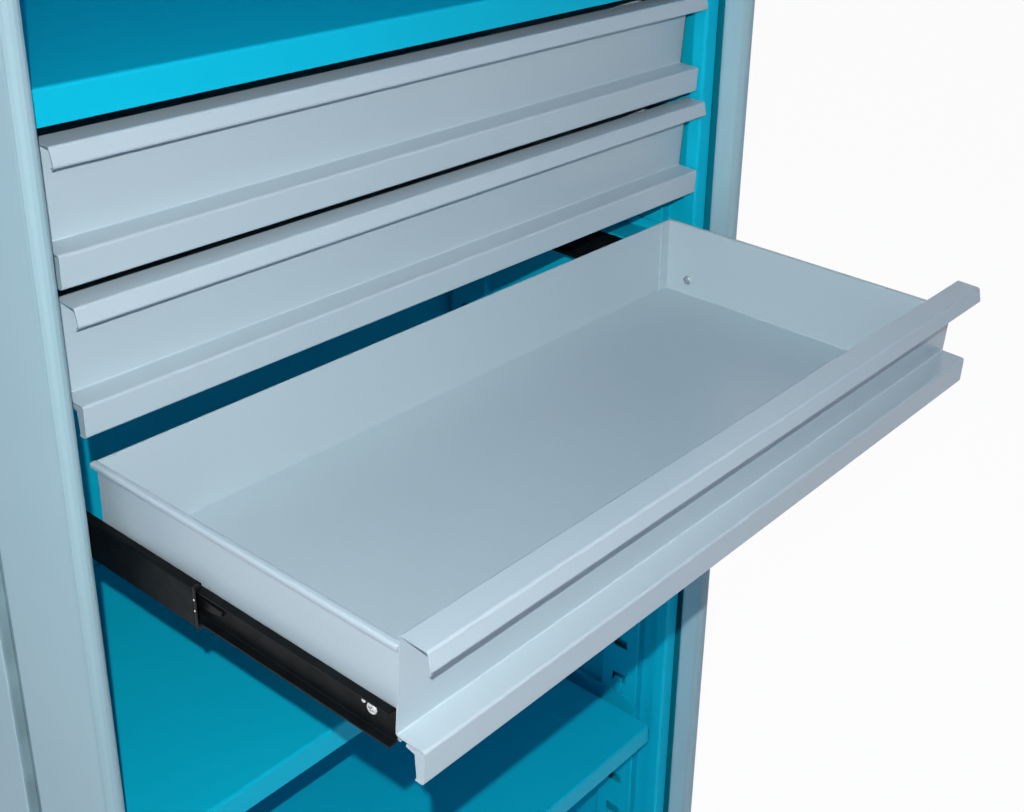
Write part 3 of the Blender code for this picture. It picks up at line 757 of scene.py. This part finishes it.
class CABINET_OT_fit_ball_cages(bpy.types.Operator):
    """Fit the ball cages that run between the middle and inner runner members."""

    bl_idname = "cabinet.fit_ball_cages"
    bl_label = "Fit the ball cages"

    def execute(self, context):
        values = sizes()
        low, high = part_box("drawer_1_left_runner_middle")
        middle = (low.z + high.z) / 2
        back = low.x + RUNNER_STEEL
        ahead, ball_pitch, half_height = 0.0012, 0.0096, 0.0122
        gap, face, turned_end = 0.0002, 0.00045, 0.0012
        front = low.y - ahead
        length = ball_pitch * values.ball_count
        cage = block(
            "cage",
            (back + gap, front, middle - half_height),
            (back + face, front + length, middle + half_height),
        )
        edit(cage, "FACE", facing("y", -1))
        extrude((turned_end, 0, 0))
        close_edit()
        pieces = [cage]
        ball_inset, first_ball, ball_rise = 0.0050, 0.0035, 0.0129
        tray_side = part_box("drawer_1_left_runner_inner")[1].x
        for side in (-1, 1):
            only(None)
            bpy.ops.mesh.primitive_uv_sphere_add(
                segments=10, ring_count=6, radius=values.ball_radius,
                location=(tray_side - ball_inset, front + first_ball, middle + side * ball_rise),
            )
            ball = named(f"balls_{side}")
            bpy.ops.object.shade_smooth()
            modified(
                ball, "ARRAY", count=values.ball_count, use_relative_offset=False,
                use_constant_offset=True, constant_offset_displace=(0, ball_pitch, 0),
            )
            pieces.append(ball)
        carry(
            "drawer_{number}_{side}_ball_cage", joined(pieces), "bright_zinc_plated_steel",
            "drawer_{number}_middle", "runner_middle",
        )
        return {"FINISHED"}


class CABINET_OT_fit_front_stops(bpy.types.Operator):
    """Fit the buffers at the fronts of the middle runner members, each with two bright rivet ends."""

    bl_idname = "cabinet.fit_front_stops"
    bl_label = "Fit the front stops"

    def execute(self, context):
        values = sizes()
        low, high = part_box("drawer_1_left_runner_middle")
        middle = (low.z + high.z) / 2
        half = values.stop_height / 2
        gap, thickness, lobe_height, lobe_depth = 0.0002, 0.0011, 0.0029, 0.0034
        front = low.y - gap - values.stop_depth
        plate = block(
            "stop", (low.x, front, middle - half), (low.x + thickness, low.y - gap, middle + half)
        )
        # The plate's two ends turn in as lobes over the ball channels
        edit(plate, "EDGE", long_along("z"))
        bpy.ops.mesh.subdivide(number_cuts=19)
        close_edit()
        inward = facing("x")
        edit(
            plate, "FACE",
            lambda face: inward(face) and abs(face.calc_center_median().z - middle) > half - lobe_height,
        )
        extrude((lobe_depth, 0, 0))
        close_edit()
        rounded(plate, SOFT_EDGE)
        carry(
            "drawer_{number}_{side}_front_stop", plate, "black_moulded_acetal",
            "drawer_{number}_middle", "runner_middle",
        )
        rivet_radius, rivet_head, rivet_rises = 0.0007, 0.0004, (0.0062, -0.0018)
        rivets = [
            domed(
                "rivet_end", (low.x, front + values.stop_depth / 2, middle + rise), rivet_radius, rivet_head
            )
            for rise in rivet_rises
        ]
        carry(
            "drawer_{number}_{side}_stop_rivets", joined(rivets), "bright_zinc_plated_steel",
            "drawer_{number}_middle", "runner_middle",
        )
        return {"FINISHED"}


class CABINET_OT_fit_locating_pins(bpy.types.Operator):
    """Fit the bright pins that stand beside each runner's screw."""

    bl_idname = "cabinet.fit_locating_pins"
    bl_label = "Fit the locating pins"

    def execute(self, context):
        values = sizes()
        low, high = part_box("drawer_1_left_screw")
        centre = (low + high) / 2
        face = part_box("drawer_1_left_runner_inner")[1].x - RUNNER_STEEL
        rise, radius = 0.0005, values.pin_radius
        pin = domed("pin", (face, centre.y + values.pin_setback, centre.z + rise), radius, radius / 2)
        carry(
            "drawer_{number}_{side}_locating_pins", pin, "bright_zinc_plated_steel",
            "drawer_{number}", "runner_inner",
        )
        return {"FINISHED"}


class CABINET_OT_fit_screws(bpy.types.Operator):
    """Fit pan-head screws with a cross recess in place of the plain ones."""

    bl_idname = "cabinet.fit_screws"
    bl_label = "Fit the screws"

    def execute(self, context):
        span = sizes().recess
        head_height, head_round, shank_radius = 0.0022, 0.0013, 0.0018
        slit, slit_ahead, slit_depth = 0.0009, 0.001, 0.0014
        # The screws of each drawer stand at a turn of their own, in degrees
        first_turn, turn_step = 20, 31
        for number in DRAWERS:
            turn = Matrix.Rotation(math.radians(first_turn + turn_step * number), 4, "X")
            for word, _ in SIDES:
                node = f"drawer_{number}_{word}_screw"
                low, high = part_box(node)
                centre = (low + high) / 2
                # Every head looks to the left: outward on the left, and into the tray on the right
                tip, tail = low.x, high.x
                screw = disc(
                    f"{node}_head", (tip + head_height / 2, centre.y, centre.z),
                    radius=(high.z - low.z) / 2, depth=head_height, vertices=32,
                )
                edit(screw, "FACE", facing("x", -1))
                bpy.ops.mesh.bevel(offset=head_round, segments=5, profile=0.5)
                close_edit()
                arms = [
                    block(
                        "cross_arm",
                        (tip - slit_ahead, centre.y - wide / 2, centre.z - tall / 2),
                        (tip + slit_depth, centre.y + wide / 2, centre.z + tall / 2),
                    )
                    for wide, tall in ((span, slit), (slit, span))
                ]
                middle = Matrix.Translation(centre)
                for arm in arms:
                    arm.data.transform(middle @ turn @ middle.inverted())
                    modified(screw, "BOOLEAN", operation="DIFFERENCE", object=arm, solver="EXACT")
                    bpy.data.objects.remove(arm, do_unlink=True)
                shank = disc(
                    "shank", ((tip + head_height + tail) / 2, centre.y, centre.z),
                    radius=shank_radius, depth=tail - tip - head_height,
                )
                screw = smoothed(joined([screw, shank]), degrees=35)
                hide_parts(node)
                dressed(screw, f"drawer_{number}", "bright_zinc_plated_steel")
        return {"FINISHED"}


class CABINET_OT_fit_rivets(bpy.types.Operator):
    """Fit the flat rivets that hold the outer runner members to the uprights."""

    bl_idname = "cabinet.fit_rivets"
    bl_label = "Fit the runner rivets"

    def execute(self, context):
        low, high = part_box("drawer_1_left_runner_outer")
        face = low.x + RUNNER_STEEL
        middle = (low.z + high.z) / 2
        radius, height, rim, hollow, edge = 0.0042, 0.0010, 0.0016, 0.0004, 0.00025
        rivets = []
        for upright in ("left_front_upright", "left_rear_upright"):
            post_low, post_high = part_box(upright)
            place = (face + height / 2, (post_low.y + post_high.y) / 2, middle)
            rivet = disc("rivet", place, radius=radius, depth=height)
            edit(rivet, "FACE", facing("x"))
            bpy.ops.mesh.inset(thickness=rim, depth=-hollow)
            close_edit()
            rivets.append(rounded(rivet, edge))
        carry(
            "drawer_{number}_{side}_outer_rivets", joined(rivets), "bright_zinc_plated_steel",
            "cabinet", "runner_outer",
        )
        return {"FINISHED"}


class CABINET_OT_fit_shelf_hooks(bpy.types.Operator):
    """Fit the hooks that hang each shelf bracket in the slots of the uprights."""

    bl_idname = "cabinet.fit_shelf_hooks"
    bl_label = "Fit the shelf hooks"

    def execute(self, context):
        values = sizes()
        half = values.hook_width / 2
        thickness, gap, slot_above = 0.0014, 0.0001, 0.012
        below_slot, tongue_height, tongue_narrowing, tongue_depth = 0.002, 0.0045, 0.72, 0.0038
        for shelf in SHELVES:
            for word, side in SIDES:
                low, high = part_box(f"{shelf}_{word}_bracket")
                leg = high.x if side > 0 else low.x
                top = high.z
                pitch, first = values.slot_pitch, values.slot_foot
                slot = first + pitch * math.ceil((top + slot_above - first) / pitch)
                inner, outer = sorted((leg - side * thickness, leg))
                outward = facing("x", side)
                hooks = []
                for post in (f"{word}_front_upright", f"{word}_rear_upright"):
                    post_low, post_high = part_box(post)
                    middle = (post_low.y + post_high.y) / 2
                    hook = block(
                        "hook", (inner, middle - half, top + gap), (outer, middle + half, slot - below_slot)
                    )
                    edit(hook, "FACE", facing("z"))
                    extrude((0, 0, tongue_height))
                    bpy.ops.transform.resize(
                        value=(1, tongue_narrowing, 1), center_override=(leg, middle, slot)
                    )
                    close_edit()
                    edit(
                        hook, "FACE",
                        lambda face: outward(face) and face.calc_center_median().z > slot - below_slot,
                    )
                    extrude((side * tongue_depth, 0, 0))
                    close_edit()
                    hooks.append(rounded(hook, SOFT_EDGE))
                hooks = joined(hooks)
                hooks.name = hooks.data.name = f"{shelf}_{word}_hooks"
                dressed(hooks, "cabinet", "powder_coat_turquoise")
        return {"FINISHED"}


class CABINET_OT_press_weld_marks(bpy.types.Operator):
    """Press the small spot-weld marks into the rear wall of each tray."""

    bl_idname = "cabinet.press_weld_marks"
    bl_label = "Press the weld marks"

    def execute(self, context):
        left_inset, right_inset, rises = 0.060, 0.058, (0.022, 0.048)
        gap, height, rim, hollow, ring, rise_inside = 0.0002, 0.0003, 0.0007, 0.00025, 0.0006, 0.0001
        for number in DRAWERS:
            low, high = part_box(f"drawer_{number}_tray")
            wall = high.y - TRAY_STEEL - gap
            marks = []
            for x in (low.x + left_inset, high.x - right_inset):
                for rise in rises:
                    place = (x, wall - height / 2, low.z + rise)
                    mark = disc("mark", place, radius=sizes().weld_radius, depth=height, axis="Y")
                    edit(mark, "FACE", facing("y", -1))
                    bpy.ops.mesh.inset(thickness=rim, depth=-hollow)
                    bpy.ops.mesh.inset(thickness=ring, depth=rise_inside)
                    close_edit()
                    marks.append(smoothed(mark, degrees=60))
            marks = joined(marks)
            marks.name = marks.data.name = f"drawer_{number}_weld_marks"
            dressed(marks, f"drawer_{number}", "powder_coat_pale_grey")
        return {"FINISHED"}


def camera_axes():
    """Where the camera's right, top and lens point."""
    values = studio()
    yaw, pitch, roll = values.yaw, values.pitch, values.roll
    ahead = Vector((math.sin(yaw) * math.cos(pitch), math.cos(yaw) * math.cos(pitch), -math.sin(pitch)))
    level = Vector((math.cos(yaw), -math.sin(yaw), 0.0))
    upright = level.cross(ahead)
    right = math.cos(roll) * level + math.sin(roll) * upright
    up = -math.sin(roll) * level + math.cos(roll) * upright
    return right, up, ahead


def place_camera():
    """The photograph's camera, whose lens is shifted off the middle of the frame."""
    values = studio()
    right, up, ahead = camera_axes()
    only(None)
    bpy.ops.object.camera_add()
    camera = bpy.context.object
    turn = Matrix((right, up, -ahead)).transposed().to_4x4()
    camera.matrix_world = Matrix.Translation(values.camera_place) @ turn
    camera.data.sensor_width = SENSOR_WIDTH
    camera.data.lens = values.focal_length
    camera.data.shift_x, camera.data.shift_y = values.lens_shift
    camera.data.clip_start = NEAREST
    bpy.context.scene.camera = camera


def add_lamp(name, kind, place, power, target):
    """A lamp that points at a target."""
    bpy.ops.object.light_add(type=kind, location=place)
    lamp = bpy.context.object
    lamp.name = name
    lamp.data.energy = power
    lamp.rotation_euler = (Vector(target) - Vector(place)).to_track_quat("-Z", "Y").to_euler()
    return lamp.data


def add_key_lamp():
    """The lamp beside the lens: part of its light falls off with the distance, the rest with its square."""
    values = studio()
    right, up, _ = camera_axes()
    place = Vector(values.camera_place) + up * values.key_rise - right * values.key_left
    key = add_lamp("key_lamp", "SPOT", place, values.key_power, values.key_aim)
    key.spot_size, key.spot_blend = values.key_beam, 1.0
    key.shadow_soft_size = values.key_size
    key.use_nodes = True
    tree = key.node_tree
    fall = add_node(tree, "LightFalloff", {"Strength": 1.0}).outputs
    even = {0: fall["Linear"], 1: values.key_evenness}
    plain = {0: fall["Quadratic"], 1: 1 - values.key_evenness}
    parts = [add_node(tree, "Math", part, operation="MULTIPLY").outputs[0] for part in (even, plain)]
    strength = add_node(tree, "Math", {0: parts[0], 1: parts[1]}, operation="ADD").outputs[0]
    tree.links.new(strength, tree.nodes["Emission"].inputs["Strength"])


def add_soft_lamps():
    """The large lamps around the cabinet."""
    values = studio()
    target = (0, 0, values.aim_height)
    for name, place in SOFT_LAMPS.items():
        power = getattr(values, f"{name}_power")
        add_lamp(f"soft_{name}", "AREA", place, power, target).size = values.soft_size


def seen(tree):
    """1 for rays from the camera, mirrors and glass, 0 for those that light the cabinet."""
    path = add_node(tree, "LightPath").outputs
    rays = path["Is Camera Ray"]
    for more in (path["Is Glossy Ray"], path["Is Transmission Ray"]):
        rays = add_node(tree, "Math", {0: rays, 1: more}, operation="MAXIMUM").outputs[0]
    return rays


def show_white(tree, share, kind, lit, output):
    """Shows plain white in place of the lit floor or room, by a share."""
    white = add_node(tree, kind, {"Color": (1, 1, 1, 1), "Strength": 1.0}).outputs[0]
    mixed = add_node(tree, "MixShader", {0: share, 1: lit, 2: white})
    tree.links.new(mixed.outputs["Shader"], tree.nodes[output].inputs["Surface"])


def lay_floor():
    """A pale floor that keeps the cabinet's shadow, nearly white where it is seen."""
    values = studio()
    only(None)
    bpy.ops.mesh.primitive_plane_add(size=FLOOR_SIZE, location=(0, 0, -FLOOR_GAP))
    floor = bpy.context.object
    floor.name = "studio_floor"
    colour = tuple(values.floor_colour)
    material, tree, shader, place = start_material("matt_white_floor_paint", colour, Roughness=0.7)
    cloud_mm = 900
    cloud = drift(tree, place, cloud_mm, low=0.0, high=1.0)
    tones = {"Factor": cloud, "A": tint(colour, 0.985), "B": tint(colour, 1.0)}
    feed(tree, shader, Base_Color=add_node(tree, "Mix", tones, data_type="RGBA").outputs["Result"])
    share = add_node(tree, "Math", {0: seen(tree), 1: values.floor_glow}, operation="MULTIPLY").outputs[0]
    show_white(tree, share, "Emission", shader.outputs["BSDF"], "Material Output")
    floor.data.materials.append(material)


def light_room():
    """A room of soft light that is white where it is seen."""
    values = studio()
    room = bpy.data.worlds.new("white_room")
    bpy.context.scene.world = room
    room.use_nodes = True
    tree = room.node_tree
    light = tree.nodes["Background"]
    light.inputs["Color"].default_value = (*values.room_colour, 1.0)
    light.inputs["Strength"].default_value = values.room_light
    show_white(tree, seen(tree), "Background", light.outputs["Background"], "World Output")


class CABINET_OT_set_stage(bpy.types.Operator):
    """Set up the camera, the lamps, the floor and the white room."""

    bl_idname = "cabinet.set_stage"
    bl_label = "Set the stage"

    def execute(self, context):
        place_camera()
        add_key_lamp()
        add_soft_lamps()
        lay_floor()
        light_room()
        context.scene.view_settings.view_transform = "Standard"
        return {"FINISHED"}


OPERATORS = (
    CABINET_OT_paint_shell,
    CABINET_OT_paint_drawers,
    CABINET_OT_paint_inside,
    CABINET_OT_coat_runners,
    CABINET_OT_fit_levers,
    CABINET_OT_fit_ball_cages,
    CABINET_OT_fit_front_stops,
    CABINET_OT_fit_screws,
    CABINET_OT_fit_locating_pins,
    CABINET_OT_fit_rivets,
    CABINET_OT_fit_shelf_hooks,
    CABINET_OT_press_weld_marks,
    CABINET_OT_set_stage,
)


class CABINET_PT_dressing(bpy.types.Panel):
    """Lists the steps that dress the cabinet."""

    bl_idname = "CABINET_PT_dressing"
    bl_label = "Tool cabinet"
    bl_space_type = "VIEW_3D"
    bl_region_type = "UI"
    bl_category = "Tool cabinet"

    def draw(self, context):
        for group in (sizes(), paints(), studio()):
            box = self.layout.box()
            for key in group.__annotations__:
                box.prop(group, key)
        for operator in OPERATORS:
            self.layout.operator(operator.bl_idname)


GROUPS = (
    ("cabinet_sizes", CabinetSizes),
    ("cabinet_paints", CabinetPaints),
    ("cabinet_studio", CabinetStudio),
)


def register():
    for name, group in GROUPS:
        bpy.utils.register_class(group)
        setattr(bpy.types.Scene, name, PointerProperty(type=group))
    for operator in OPERATORS:
        bpy.utils.register_class(operator)
    bpy.utils.register_class(CABINET_PT_dressing)


def unregister():
    bpy.utils.unregister_class(CABINET_PT_dressing)
    for operator in reversed(OPERATORS):
        bpy.utils.unregister_class(operator)
    for name, group in reversed(GROUPS):
        delattr(bpy.types.Scene, name)
        bpy.utils.unregister_class(group)


def main():
    register()
    for operator in OPERATORS:
        group, step = operator.bl_idname.split(".")
        getattr(getattr(bpy.ops, group), step)()
    bpy.context.view_layer.update()


if __name__ == "__main__":
    main()
